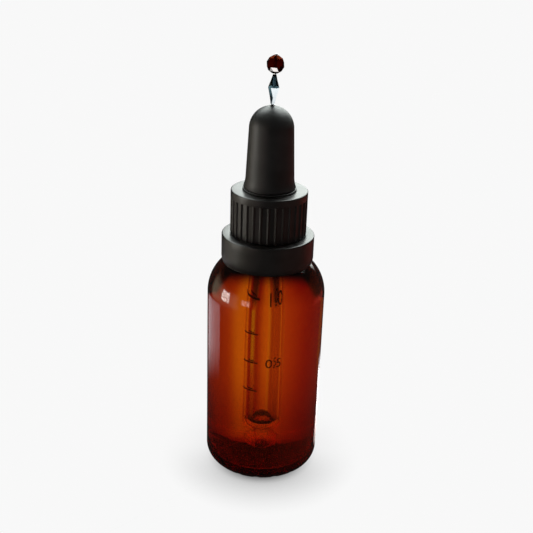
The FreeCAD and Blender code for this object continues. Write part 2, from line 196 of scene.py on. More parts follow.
# tamper ring
RING_TOP = 71.35
RING_WALL = 1.1
RING_LEDGE = 1.2
RING_HOLE = 9.7
RING_TURN_IN = 64.9
RING_TURN_IN_ARC = 6.0
RING_HEEL_R = 12.35
RING_EDGE = 0.35
RING_HOLE_EDGE = 0.15
RING_CHAMFER = 0.75
CATCH_R = 8.8
CATCH_Z = 66.6
CATCH_WIDTH = 0.9
CATCH_SLOPE = 0.5
BRIDGES = 8
BRIDGE_LENGTH = 0.5
BRIDGE_HALF_WIDTH = 0.35
BRIDGE_SINK = 0.05
BRIDGE_HEIGHT = 0.12
BRIDGE_TAPER = 0.08

# cap
CAP_BORE = 9.0
CAP_ROOF = 1.4
CAP_ROOF_Z = CAP_TOP - CAP_ROOF
CAP_HOLE = 6.6
CAP_EDGE = 0.35
CAP_HOLE_EDGE = 0.15
CAP_CHAMFER = 0.1
CAP_FOOT_EDGE = 0.06
CAP_THREAD_MARGIN = 0.3
CAP_THREAD_DEPTH = THREAD_DEPTH + 0.1
RIBS = 32
RIB_TOP = 81.8
RIB_DEPTH = 0.4
RIB_CREST = 0.2
RIB_FOOT = 0.95
RIB_FADE = 0.18
RIB_STEPS = 20

# washer
WASHER_HOLE = 3.75
WASHER_EDGE = 0.15
WASHER_HOLE_EDGE = 0.1

# bulb
BULB_NECK_R = 6.5
FLANGE_TOP = CAP_ROOF_Z - 0.1
FLANGE_EDGE = 0.2
COLLAR_R = 7.3
COLLAR_BOTTOM = CAP_TOP + 0.1
COLLAR_TOP = 84.28
COLLAR_EDGE = 0.15
COLLAR_WAIST = 6.75
SKIRT_R = 7.1
SKIRT_Z = 84.75
SKIRT_EDGE = 0.25
SKIRT_TOP_R = 6.55
SKIRT_TOP_Z = 87.3
SKIRT_SWEEP = 7.8
DOME_R = 5.95
DOME_Z = DOME_TOP - DOME_R
PIN_HOLE_R = 0.42
PIN_HOLE_Z = DOME_TOP - 2.9
GRIP_R = TUBE_R + 0.01
GRIP_Z = 88.2
BULB_INNER_R = 4.5
BULB_INNER_TOP = 99.4
BOSS_R = 1.6
BOSS_Z = 102.4
BOSS_ARC = 3.2

# finial, measured along its own leaning wire from the dome's top
FINIAL_LEAN = math.radians(2.4)
WIRE_R = 0.25
WIRE_END = -2.84
WIRE_TIP = 0.1
HEAD_R = 0.45
HEAD_NECK = 0.36
HEAD_EDGE = 0.09
HEAD_RISE = 0.28
HEAD_ARC = 0.4
BEAD_BORE = WIRE_R + 0.06
CRYSTAL_SIDES = 6
CRYSTAL_RINGS = ((0.42, 0.5), (2.1, 0.92), (4.65, 1.46), (6.4, 0.98), (8.0, 0.44))
AMBER_Z = 10.5
AMBER_R = 2.36
AMBER_SIDES = 9
AMBER_TILTS = (-72, -42, -14, 14, 42, 72)
HEAD_Z = AMBER_Z + AMBER_R + 0.07


# ------------------------------------------------------------------ outlines and lathe

def arc_points(start, end, radius, step):
    """Points after start, up to end, on the short arc. A positive radius bulges to the right of the way."""
    start, end = Vector(start), Vector(end)
    chord = end - start
    half = chord.length / 2
    left = Vector((-chord.y, chord.x)) / chord.length
    rise = math.copysign(math.sqrt(max(radius * radius - half * half, 0)), radius)
    centre = (start + end) / 2 + left * rise
    first = math.atan2(start.y - centre.y, start.x - centre.x)
    last = math.atan2(end.y - centre.y, end.x - centre.x)
    sweep = last - first
    if radius > 0 and sweep < 0:
        sweep += TURN
    if radius < 0 and sweep > 0:
        sweep -= TURN
    count = max(3, math.ceil(abs(sweep * radius) / step))
    return [(centre.x + abs(radius) * math.cos(first + sweep * i / count),
             centre.y + abs(radius) * math.sin(first + sweep * i / count))
            for i in range(1, count + 1)]


def outline(corners, step, straight=None):
    """An open outline. A corner is (r, z), or (r, z, radius of the arc that follows).

    step is the longest edge on an arc, and straight the longest on a straight run.
    """
    points = [tuple(corners[0][:2])]
    for here, following in zip(corners, corners[1:]):
        if len(here) == 3:
            points += arc_points(here[:2], following[:2], here[2], step)
            continue
        length = math.dist(here[:2], following[:2])
        count = max(1, math.ceil(length / straight)) if straight else 1
        points += [tuple(a + (b - a) * i / count for a, b in zip(here[:2], following[:2]))
                   for i in range(1, count + 1)]
    return points


def reverse_arcs(corners):
    """The same corners run the other way."""
    turned = []
    for i in range(len(corners) - 1, -1, -1):
        arc = corners[i - 1][2] if i > 0 and len(corners[i - 1]) == 3 else None
        turned.append((*corners[i][:2], -arc) if arc else tuple(corners[i][:2]))
    return turned


def build(name, vertices, faces, material, smooth_angle=35):
    """A mesh object in metres, shaded smooth except over edges sharper than the angle."""
    mesh = bpy.data.meshes.new(name)
    mesh.from_pydata([tuple(c * MM for c in v) for v in vertices], [], faces)
    mesh.validate()
    mesh.update()
    mesh.shade_smooth()
    mesh.set_sharp_from_angle(angle=math.radians(smooth_angle))
    mesh.materials.append(material)
    piece = bpy.data.objects.new(name, mesh)
    bpy.context.scene.collection.objects.link(piece)
    return piece


def lathe(name, points, material, segments, closed=False, relief=None, smooth_angle=35):
    """Turn an outline about Z. Points at r = 0 become one pole.

    The outline runs with the solid on its left. relief(angle, r, z) gives a change of radius and height.
    """
    vertices, rings = [], []
    for r, z in points:
        if r < 1e-6:
            rings.append([len(vertices)])
            vertices.append((0, 0, z))
            continue
        ring = []
        for k in range(segments):
            angle = TURN * k / segments
            outward, upward = relief(angle, r, z) if relief else (0, 0)
            ring.append(len(vertices))
            vertices.append(((r + outward) * math.cos(angle), (r + outward) * math.sin(angle), z + upward))
        rings.append(ring)
    faces = []
    pairs = list(zip(rings, rings[1:])) + ([(rings[-1], rings[0])] if closed else [])
    for a, b in pairs:
        for k in range(segments):
            k2 = (k + 1) % segments
            quad = [a[k % len(a)], a[k2 % len(a)], b[k2 % len(b)], b[k % len(b)]]
            face = [v for i, v in enumerate(quad) if v != quad[i - 1]]
            if len(face) >= 3:
                faces.append(tuple(face))
    return build(name, vertices, faces, material, smooth_angle)


def dress(piece, body, slot, *nodes):
    """Say what a piece rides on and which CAD nodes it stands for. The finish passed as slot is not used."""
    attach(piece, body)
    if nodes:
        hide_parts(*nodes)
    return piece


def smooth(t):
    """0 below 0 and 1 above 1, with a soft start and end."""
    t = min(1.0, max(0.0, t))
    return t * t * (3 - 2 * t)


# ------------------------------------------------------------------ materials

def node_material(name):
    material = bpy.data.materials.new(name)
    material.use_nodes = True
    tree = material.node_tree
    tree.nodes.clear()
    tree.nodes.new("ShaderNodeOutputMaterial")
    return material, tree


def add(tree, kind, inputs=None, **settings):
    """Add a node, set its properties and its sockets. A socket's value may be another node's output."""
    node = tree.nodes.new(kind)
    for key, value in settings.items():
        setattr(node, key, value)
    for key, value in (inputs or {}).items():
        if isinstance(value, bpy.types.NodeSocket):
            tree.links.new(value, node.inputs[key])
        else:
            node.inputs[key].default_value = value
    return node


def surface(tree, shader, output="BSDF"):
    """Make a shader the material's surface."""
    end = next(n for n in tree.nodes if n.type == "OUTPUT_MATERIAL")
    tree.links.new(shader.outputs[output], end.inputs["Surface"])
    return end


def noise_bump(tree, scale, strength, distance, detail=3.0, stretch=(1, 1, 1)):
    """A bump from noise in the piece's own metres, stretched along its axes."""
    place = add(tree, "ShaderNodeTexCoord")
    mapping = add(tree, "ShaderNodeMapping", {"Vector": place.outputs["Object"], "Scale": stretch})
    noise = add(tree, "ShaderNodeTexNoise", {"Vector": mapping.outputs["Vector"], "Scale": scale,
                                             "Detail": detail})
    bump = add(tree, "ShaderNodeBump", {"Height": noise.outputs["Fac"], "Strength": strength,
                                        "Distance": distance})
    return bump.outputs["Normal"]


def colour_noise(tree, scale, dark, light):
    """Two colours mixed by noise."""
    place = add(tree, "ShaderNodeTexCoord")
    noise = add(tree, "ShaderNodeTexNoise", {"Vector": place.outputs["Object"], "Scale": scale,
                                             "Detail": 4.0})
    ramp = add(tree, "ShaderNodeValToRGB", {"Fac": noise.outputs["Fac"]})
    for stop, position, colour in zip(ramp.color_ramp.elements, (0.3, 0.7), (dark, light)):
        stop.position = position
        stop.color = (*colour, 1)
    return ramp.outputs["Color"]


def tube_glass(name, tint):
    """Clear glass, drawn into a tube: its faint waves run along it."""
    material, tree = node_material(name)
    waves = noise_bump(tree, scale=120.0, strength=0.04, distance=0.0003, detail=1.0, stretch=(1, 1, 0.1))
    surface(tree, add(tree, "ShaderNodeBsdfGlass", {"Color": (*tint, 1), "IOR": 1.52, "Roughness": 0.0,
                                                    "Normal": waves}))
    return material


def amber_glass():
    """Sulphur-amber glass. Absorption per metre is (1 - colour) * density: red passes, blue is lost.

    The tint deepens towards the base: painted shade, standing in for the floor's shadow seen through the glass.
    """
    material, tree = node_material("amber_glass")
    place = add(tree, "ShaderNodeTexCoord")
    height = add(tree, "ShaderNodeSeparateXYZ", {"Vector": place.outputs["Object"]}).outputs["Z"]
    # painted shade: below about 34 mm the glass is tinted darker, in place of the shadow behind the bottle's
    # foot
    above = add(tree, "ShaderNodeMapRange", {"Value": height, "From Min": 0.003, "From Max": 0.034},
                interpolation_type="SMOOTHERSTEP")
    tint = add(tree, "ShaderNodeMix", {"Factor": above.outputs["Result"], 6: (0.82, 0.66, 0.6, 1),
                                       7: (1, 1, 1, 1)}, data_type="RGBA")
    ripple = noise_bump(tree, scale=90.0, strength=0.05, distance=0.0004, detail=1.0, stretch=(1, 1, 0.35))
    end = surface(tree, add(tree, "ShaderNodeBsdfGlass", {"Color": tint.outputs[2], "IOR": 1.52,
                                                          "Roughness": 0.0, "Normal": ripple}))
    volume = add(tree, "ShaderNodeVolumeAbsorption", {"Color": (0.87, 0.58, 0.02, 1), "Density": 1400.0})
    tree.links.new(volume.outputs["Volume"], end.inputs["Volume"])
    return material


def thin_oil():
    """A thin oil. It only bends light: what it would reflect, the glass wall reflects."""
    material, tree = node_material("liquid")
    surface(tree, add(tree, "ShaderNodeBsdfRefraction", {"Color": (1, 0.985, 0.95, 1), "IOR": 1.47,
                                                         "Roughness": 0.0}))
    return material


def cut_glass(name, ior, deep, pale, toward, nearness):
    """A cut bead. Facets that face nearly one way get a painted highlight, drawn pale and diffuse instead of
    glass; the others stay deep and glossy.
    """
    material, tree = node_material(name)
    facet = add(tree, "ShaderNodeNewGeometry").outputs["True Normal"]
    facing = add(tree, "ShaderNodeVectorMath", {0: facet, 1: toward}, operation="DOT_PRODUCT")
    painted_highlight = add(tree, "ShaderNodeMapRange", {"Value": facing.outputs["Value"], "From Min": nearness,
                                              "From Max": nearness + 0.04})
    cloud = colour_noise(tree, 700.0, tuple(0.6 * c for c in deep), deep)
    polish = noise_bump(tree, scale=500.0, strength=0.05, distance=0.0001, detail=1.0)
    inside = add(tree, "ShaderNodeBsdfGlass", {"Color": cloud, "IOR": ior, "Roughness": 0.0,
                                               "Normal": polish})
    # painted highlight: the facets that face toward take this flat pale colour in place of glass
    lit = add(tree, "ShaderNodeBsdfDiffuse", {"Color": (*pale, 1)})
    surface(tree, add(tree, "ShaderNodeMixShader", {0: painted_highlight.outputs["Result"], 1: inside.outputs["BSDF"],
                                                    2: lit.outputs["BSDF"]}), "Shader")
    return material


def plastic(name, dark, light, roughness, grain, specular=0.5):
    """Moulded plastic or rubber with a fine spark-eroded grain and slight wear in its gloss."""
    material, tree = node_material(name)
    place = add(tree, "ShaderNodeTexCoord")
    cloud = add(tree, "ShaderNodeTexNoise", {"Vector": place.outputs["Object"], "Scale": 180.0,
                                             "Detail": 5.0})
    gloss = add(tree, "ShaderNodeMapRange", {"Value": cloud.outputs["Fac"],
                                             "To Min": roughness - 0.06, "To Max": roughness + 0.08})
    surface(tree, add(tree, "ShaderNodeBsdfPrincipled", {
        "Base Color": colour_noise(tree, 260.0, dark, light), "Roughness": gloss.outputs["Result"],
        "Normal": noise_bump(tree, scale=4200.0, strength=grain, distance=0.00003, detail=2.0),
        "Specular IOR Level": specular}))
    return material


def metal(name, colour, roughness):
    """Drawn wire: fine scratches along it."""
    material, tree = node_material(name)
    surface(tree, add(tree, "ShaderNodeBsdfPrincipled", {
        "Base Color": colour_noise(tree, 900.0, tuple(0.7 * c for c in colour), colour),
        "Metallic": 1.0, "Roughness": roughness,
        "Normal": noise_bump(tree, scale=3000.0, strength=0.15, distance=0.00002, stretch=(1, 1, 0.1))}))
    return material


def ink():
    material, tree = node_material("black_ink")
    surface(tree, add(tree, "ShaderNodeBsdfPrincipled", {
        "Base Color": colour_noise(tree, 2500.0, (0.004, 0.004, 0.004), (0.02, 0.018, 0.015)),
        "Roughness": 0.55}))
    return material


AMBER = amber_glass()
LIQUID = thin_oil()
TUBE_GLASS = tube_glass("clear_glass", tint=(0.985, 1.0, 0.99))
BLACK_PLASTIC = plastic("black_plastic", dark=(0.003, 0.0024, 0.002), light=(0.006, 0.0048, 0.004),
                        roughness=0.37, grain=0.2)
BLACK_RUBBER = plastic("black_rubber", dark=(0.003, 0.003, 0.003), light=(0.006, 0.0058, 0.0055),
                       roughness=0.47, grain=0.35, specular=0.45)
WHITE_PLASTIC = plastic("white_plastic", dark=(0.68, 0.68, 0.66), light=(0.8, 0.8, 0.78),
                        roughness=0.4, grain=0.2)
INK_BLACK = ink()
STEEL = metal("steel", colour=(0.62, 0.62, 0.64), roughness=0.22)
# pale, toward and nearness set each bead's painted highlight facets
CRYSTAL = cut_glass("crystal", ior=1.6, deep=(0.34, 0.46, 0.5), pale=(0.85, 0.92, 0.95),
                    toward=(0.42, -0.75, -0.5), nearness=0.74)
AMBER_CRYSTAL = cut_glass("amber_crystal", ior=1.55, deep=(0.2, 0.035, 0.012), pale=(1.0, 0.93, 0.9),
                          toward=(-0.1, -0.85, -0.52), nearness=0.92)


# ------------------------------------------------------------------ bottle and liquid

def tangent_foot(radius, arc, base_arc):
    """Where an arc that touches a wall at radius also touches the shoulder's arc.

    Gives the touching point and the height at which the arc meets the wall.
    """
    centre = BODY_R - SHOULDER_ARC
    reach = radius + arc - centre
    span = base_arc + arc
    lift = math.sqrt(span * span - reach * reach)
    return ((centre + reach * base_arc / span, SHOULDER_Z + lift * base_arc / span),
            SHOULDER_Z + lift)


def crown_arc(half_width, rise):
    """Radius of the arc that rises by rise over twice half_width."""
    return (half_width ** 2 + rise ** 2) / (2 * rise)


def cavity_outline(grow=0.0):
    """Inside of the bottle, from the mouth's foot down to the middle of the floor.

    grow moves it outwards, into the glass.
    """
    touch, meet = tangent_foot(BORE_R, MOUTH_FOOT_ARC, SHOULDER_ARC - WALL)
    flat = CAVITY_R - FLOOR_ARC
    toward = Vector((touch[0] - (BODY_R - SHOULDER_ARC), touch[1] - SHOULDER_Z)).normalized()
    return [
        (BORE_R + grow, meet, MOUTH_FOOT_ARC - grow),
        (touch[0] + grow * toward.x, touch[1] + grow * toward.y, -(SHOULDER_ARC - WALL + grow)),
        (CAVITY_R + grow, SHOULDER_Z),
        (CAVITY_R + grow, FLOOR_Z + FLOOR_ARC, -(FLOOR_ARC + grow)),
        (flat, FLOOR_Z - grow, crown_arc(flat, FLOOR_CROWN)),
        (0, FLOOR_Z + FLOOR_CROWN - grow),
    ]


def thread_relief(angle, z, start):
    """The thread's ridge over its wall, from 0 to 1: a little over one turn, fading out at its ends."""
    best = 0.0
    for along in (angle % TURN, angle % TURN + TURN):
        if along > THREAD_LENGTH:
            continue
        middle = start + THREAD_PITCH * along / TURN
        flank = (THREAD_ROOT / 2 - abs(z - middle)) / ((THREAD_ROOT - THREAD_CREST) / 2)
        fade = min(1.0, along / THREAD_FADE, (THREAD_LENGTH - along) / THREAD_FADE)
        best = max(best, min(1.0, max(0.0, flank)) * max(0.0, fade))
    return best


def bottle_relief(angle, r, z):
    """The neck's thread, and the short radial grips moulded into the ring that the bottle stands on."""
    if abs(r - NECK_R) < NEAR and THREAD_FROM < z < LIP_Z - LIP_ARC - 0.05:
        return THREAD_DEPTH * thread_relief(angle, z, THREAD_Z), 0.0
    if z < GRIP_TOP and r > PUNT_R:
        pitch = TURN / GRIPS
        off = abs((angle - GRIP_TURN + pitch / 2) % pitch - pitch / 2) * r
        across = smooth((GRIP_WIDTH - off) / GRIP_FLANK)
        along = smooth((r - GRIP_FROM) / GRIP_FADE) * smooth((GRIP_TO - r) / GRIP_FADE)
        return 0.0, GRIP_DEPTH * across * along
    return 0.0, 0.0


def make_bottle():
    touch, meet = tangent_foot(NECK_R, NECK_FOOT_ARC, SHOULDER_ARC)
    bead_low = BEAD_Z + BEAD_SLOPE
    bead_high = bead_low + BEAD_WIDTH
    body = [
        (0, PUNT_RISE, -crown_arc(PUNT_R, PUNT_RISE)),
        (PUNT_R, 0.0),
        (PUNT_R + STANDING_WIDTH, 0.0),
        (BODY_R - HEEL_ARC, 0.0, HEEL_ARC),
        (BODY_R, HEEL_ARC),
        (BODY_R, SHOULDER_Z, SHOULDER_ARC),
        (*touch, -NECK_FOOT_ARC),
        (NECK_R, meet),
        (NECK_R, BEAD_Z),
    ]
    neck = [
        (NECK_R, BEAD_Z),
        (BEAD_R - BEAD_INSET, bead_low - BEAD_DROP, BEAD_ARC),
        (BEAD_R, bead_low + BEAD_EDGE),
        (BEAD_R, bead_high - BEAD_EDGE, BEAD_ARC),
        (BEAD_R - BEAD_INSET, bead_high + BEAD_DROP),
        (NECK_R, BEAD_Z + 2 * BEAD_SLOPE + BEAD_WIDTH),
        (NECK_R, LIP_Z - LIP_ARC, LIP_ARC),
        (NECK_R - LIP_ARC, LIP_Z),
        (BORE_R + LIP_ARC, LIP_Z, LIP_ARC),
        (BORE_R, LIP_Z - LIP_ARC),
    ]
    points = (outline(body, step=0.35, straight=3.0)
              + outline(neck, step=0.15, straight=0.14)[1:]
              + outline([neck[-1]] + cavity_outline(), step=0.35, straight=3.0)[1:])
    piece = lathe("bottle_glass", points, AMBER, 288, relief=bottle_relief)
    return dress(piece, "bottle_body", "amber_glass", "bottle")


def make_liquid():
    """The liquid's skin lies just inside the glass wall, so that light bends once at each boundary."""
    corners = [
        (0, FILL_Z),
        (BORE_R - LEVEL_WIDTH, FILL_Z, -LEVEL_ARC),
        (BORE_R + SKIN, FILL_Z + LEVEL_CLIMB),
    ] + cavity_outline(SKIN)
    points = outline(corners, step=0.35, straight=3.0)
    piece = lathe("liquid", points[::-1], LIQUID, 256)
    return dress(piece, "bottle_body", "liquid", "contents")


# ------------------------------------------------------------------ pipette

def tube_outside(shrink=0.0):
    """Outside of the pipette from the tip's orifice up to the parallel tube."""
    ball = BALL_R - shrink
    waist = WAIST_R - shrink
    return [
        (ORIFICE, BALL_Z - math.sqrt(ball * ball - ORIFICE * ORIFICE), ball),
        (waist, BALL_Z + math.sqrt(ball * ball - waist * waist), -(WAIST_ARC + shrink)),
        (THROAT_R - shrink, THROAT_Z, -(CONE_FOOT_ARC + shrink)),
        (CONE_R - shrink, CONE_Z, CONE_ARC - shrink),
        (TUBE_R - shrink, TAPER_Z),
    ]


def make_pipette():
    flare_z = TUBE_TOP - FLARE_DEPTH
    up = outline(tube_outside() + [
        (TUBE_R, flare_z - TUBE_EDGE),
        (FLARE_R, flare_z),
        (FLARE_R, TUBE_TOP - TUBE_EDGE, TUBE_EDGE),
        (FLARE_R - TUBE_EDGE, TUBE_TOP),
        (TUBE_BORE + TUBE_EDGE, TUBE_TOP),
    ], step=0.12, straight=3.0)
    down = outline([
        (TUBE_BORE + TUBE_EDGE, TUBE_TOP),
        (TUBE_BORE, flare_z),
        (TUBE_BORE, TAPER_Z, -BORE_ARC),
        (THROAT_BORE, CONE_Z),
        (THROAT_BORE, BALL_Z + THROAT_R),
        (ORIFICE, BALL_Z),
    ], step=0.12, straight=3.0)
    piece = lathe("pipette_glass", up + down[1:], TUBE_GLASS, 128, closed=True)
    return dress(piece, "dropper_body", "clear_glass", "pipette")


def make_liquid_well():
    """The hole that the pipette and its trapped air make in the liquid: an inward-facing skin.

    Its outer wall lies just inside the tube's outer surface, and its inner wall just outside the
    bore below the level that the trapped air holds.
    """
    outer = tube_outside(SKIN)
    rim_z = outer[0][1] + SKIN
    inner = [
        (ORIFICE + SKIN, rim_z),
        (ORIFICE + SKIN, BALL_Z),
        (THROAT_BORE + SKIN, BALL_Z + THROAT_R),
        (THROAT_BORE + SKIN, CONE_Z, BORE_ARC),
        (TUBE_BORE + SKIN, TAPER_Z),
        (TUBE_BORE + SKIN, AIR_Z + AIR_BULGE, -AIR_ARC),
        (0, AIR_Z),
    ]
    top = FILL_Z + 0.3
    points = (outline([(0, top), (TUBE_R - SKIN, top), outer[-1]], step=0.2, straight=3.0)
              + outline(reverse_arcs(outer), step=0.12)[1:-1]
              + outline(inner, step=0.12, straight=1.0))
    piece = lathe("liquid_well", points, LIQUID, 128)
    dress(piece, "dropper_body", "liquid")
    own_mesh(piece)
    return piece


# ------------------------------------------------------------------ printed scale

def ink_mark(z):
    """A thin raised rectangle of ink on the tube, bent round it, with its middle at height z."""
    start, end = MARK_SPAN
    vertices, faces = [], []
    for i in range(MARK_STEPS + 1):
        angle = start + (end - start) * i / MARK_STEPS
        for r in (TUBE_R + INK_GAP, TUBE_R + INK):
            for height in (z - MARK_WIDTH / 2, z + MARK_WIDTH / 2):
                vertices.append((r * math.cos(angle), r * math.sin(angle), height))
    for i in range(MARK_STEPS):
        a, b = 4 * i, 4 * i + 4
        faces += [(a, b, b + 1, a + 1), (a + 2, a + 3, b + 3, b + 2),
                  (a, a + 2, b + 2, b), (a + 1, b + 1, b + 3, a + 3)]
    last = 4 * MARK_STEPS
    faces += [(0, 1, 3, 2), (last, last + 2, last + 3, last + 1)]
    return vertices, faces


def make_marks():
    vertices, faces = [], []
    for i in range(MARKS):
        base = len(vertices)
        more, cells = ink_mark(MARK_FIRST + i * MARK_STEP)
        vertices += more
        faces += [tuple(v + base for v in cell) for cell in cells]
    piece = build("scale_marks", vertices, faces, INK_BLACK)
    return dress(piece, "dropper_body", "black_ink", "graduations")


def make_number(text, z):
    """A printed number: Blender's own plain letters, laid flat, thickened and bent round the tube."""
    curve = bpy.data.curves.new("number", "FONT")
    curve.body = text
    curve.size = NUMBER_SIZE
    curve.extrude = NUMBER_HALF_DEPTH
    curve.resolution_u = 3
    temporary = bpy.data.objects.new("number_text", curve)
    bpy.context.scene.collection.objects.link(temporary)
    mesh = bpy.data.meshes.new_from_object(temporary)
    bpy.data.objects.remove(temporary)
    bpy.data.curves.remove(curve)
    middle = (min(v.co.y for v in mesh.vertices) + max(v.co.y for v in mesh.vertices)) / 2
    for v in mesh.vertices:
        angle = NUMBER_START + v.co.x * NUMBER_SQUEEZE / TUBE_R
        radius = TUBE_R + NUMBER_LIFT + v.co.z
        v.co = Vector((radius * math.cos(angle), radius * math.sin(angle), z + v.co.y - middle)) * MM
    mesh.materials.clear()
    mesh.materials.append(INK_BLACK)
    piece = bpy.data.objects.new("scale_number_" + text.replace(".", "_"), mesh)
    bpy.context.scene.collection.objects.link(piece)
    return dress(piece, "dropper_body", "black_ink")


# ------------------------------------------------------------------ closure

def make_ring():
    inner = RING_R - RING_WALL
    ledge = RING_TOP - RING_LEDGE
    points = outline([
        (RING_HEEL_R, RING_BOTTOM + 0.05, RING_TURN_IN_ARC),
        (RING_R, RING_TURN_IN),
        (RING_R, RING_TOP - RING_EDGE, RING_EDGE),
        (RING_R - RING_EDGE, RING_TOP),
        (RING_HOLE + RING_HOLE_EDGE, RING_TOP, RING_HOLE_EDGE),
        (RING_HOLE, RING_TOP - RING_HOLE_EDGE),
        (RING_HOLE, ledge),
        (inner, ledge),
        (inner, CATCH_Z + CATCH_WIDTH),
        (CATCH_R, CATCH_Z + CATCH_WIDTH),
        (CATCH_R, CATCH_Z),
        (inner, CATCH_Z - CATCH_SLOPE),
        (inner, RING_BOTTOM + RING_CHAMFER),
        (RING_HEEL_R - 0.12, RING_BOTTOM, 0.1),
    ], step=0.12, straight=2.0)
    piece = lathe("tamper_ring_shell", points, BLACK_PLASTIC, 192, closed=True)
    make_bridges().parent = piece
    return dress(piece, "ring_body", "black_plastic", "tamper_ring")


def make_bridges():
    """Stubs of the broken bridges, on the ring's ledge beside the cap."""
    vertices, faces = [], []
    for i in range(BRIDGES):
        angle = TURN * i / BRIDGES
        base = len(vertices)
        for z, shrink in ((RING_TOP - BRIDGE_SINK, 0.0), (RING_TOP + BRIDGE_HEIGHT, BRIDGE_TAPER)):
            near, far = RING_HOLE + shrink, RING_HOLE + BRIDGE_LENGTH - shrink
            for r, side in ((near, -1), (far, -1), (far, 1), (near, 1)):
                across = side * (BRIDGE_HALF_WIDTH - shrink)
                vertices.append((r * math.cos(angle) - across * math.sin(angle),
                                 r * math.sin(angle) + across * math.cos(angle), z))
        faces += [tuple(base + k for k in f) for f in
                  ((3, 2, 1, 0), (4, 5, 6, 7), (0, 1, 5, 4), (1, 2, 6, 5), (2, 3, 7, 6), (3, 0, 4, 7))]
    piece = build("tamper_ring_bridges", vertices, faces, BLACK_PLASTIC)
    return piece


def cap_relief(angle, r, z):
    """The thread inside, and outside narrow ribs with wide flutes that end below the plain band."""
    if abs(r - CAP_BORE) < NEAR and CAP_BOTTOM + CAP_THREAD_MARGIN < z < CAP_ROOF_Z - CAP_THREAD_MARGIN:
        return -CAP_THREAD_DEPTH * thread_relief(angle, z, THREAD_Z - THREAD_PITCH / 2), 0.0
    if r < CAP_R - 0.1 or z > RIB_TOP:
        return 0.0, 0.0
    pitch = TURN / RIBS
    off = abs((angle + pitch / 2) % pitch - pitch / 2) * CAP_R
    depth = smooth((off - RIB_CREST / 2) / ((RIB_FOOT - RIB_CREST) / 2))
    return -RIB_DEPTH * depth * smooth((RIB_TOP - z) / RIB_FADE), 0.0


def make_cap():
    ribs_end, band_start = RIB_TOP - 0.5, RIB_TOP + 0.1
    ribbed = outline([
        (CAP_BORE + CAP_CHAMFER, CAP_BOTTOM),
        (CAP_R - RIB_DEPTH - 0.1, CAP_BOTTOM),
        (CAP_R - CAP_FOOT_EDGE, CAP_BOTTOM, CAP_FOOT_EDGE),
        (CAP_R, CAP_BOTTOM + CAP_FOOT_EDGE),
        (CAP_R, ribs_end),
    ], step=0.1, straight=2.0)
    run_out = outline([(CAP_R, ribs_end), (CAP_R, band_start)], step=0.1, straight=0.06)
    top = outline([
        (CAP_R, band_start),
        (CAP_R, CAP_TOP - CAP_EDGE, CAP_EDGE),
        (CAP_R - CAP_EDGE, CAP_TOP),
        (CAP_HOLE + CAP_HOLE_EDGE, CAP_TOP, CAP_HOLE_EDGE),
        (CAP_HOLE, CAP_TOP - CAP_HOLE_EDGE),
        (CAP_HOLE, CAP_ROOF_Z),
        (CAP_BORE, CAP_ROOF_Z),
    ], step=0.1, straight=1.5)
    threaded = outline([
        (CAP_BORE, CAP_ROOF_Z),
        (CAP_BORE, CAP_BOTTOM + CAP_CHAMFER),
        (CAP_BORE + CAP_CHAMFER, CAP_BOTTOM),
    ], step=0.1, straight=0.16)
    points = ribbed + run_out[1:] + top[1:] + threaded[1:-1]
    piece = lathe("screw_cap_ribbed", points, BLACK_PLASTIC, RIBS * RIB_STEPS, closed=True,
                  relief=cap_relief, smooth_angle=50)
    return dress(piece, "cap_body", "black_plastic", "screw_cap")


def make_washer():
    points = outline([
        (WASHER_HOLE + WASHER_HOLE_EDGE, WASHER_BOTTOM),
        (WASHER_R - WASHER_EDGE, WASHER_BOTTOM, WASHER_EDGE),
        (WASHER_R, WASHER_BOTTOM + WASHER_EDGE),
        (WASHER_R, WASHER_TOP - WASHER_EDGE, WASHER_EDGE),
        (WASHER_R - WASHER_EDGE, WASHER_TOP),
        (WASHER_HOLE + WASHER_HOLE_EDGE, WASHER_TOP, WASHER_HOLE_EDGE),
        (WASHER_HOLE, WASHER_TOP - WASHER_HOLE_EDGE),
        (WASHER_HOLE, WASHER_BOTTOM + WASHER_HOLE_EDGE, WASHER_HOLE_EDGE),
    ], step=0.06, straight=1.5)
    piece = lathe("sealing_washer_disc", points, WHITE_PLASTIC, 128, closed=True)
    return dress(piece, "seal_body", "white_plastic", "sealing_washer")


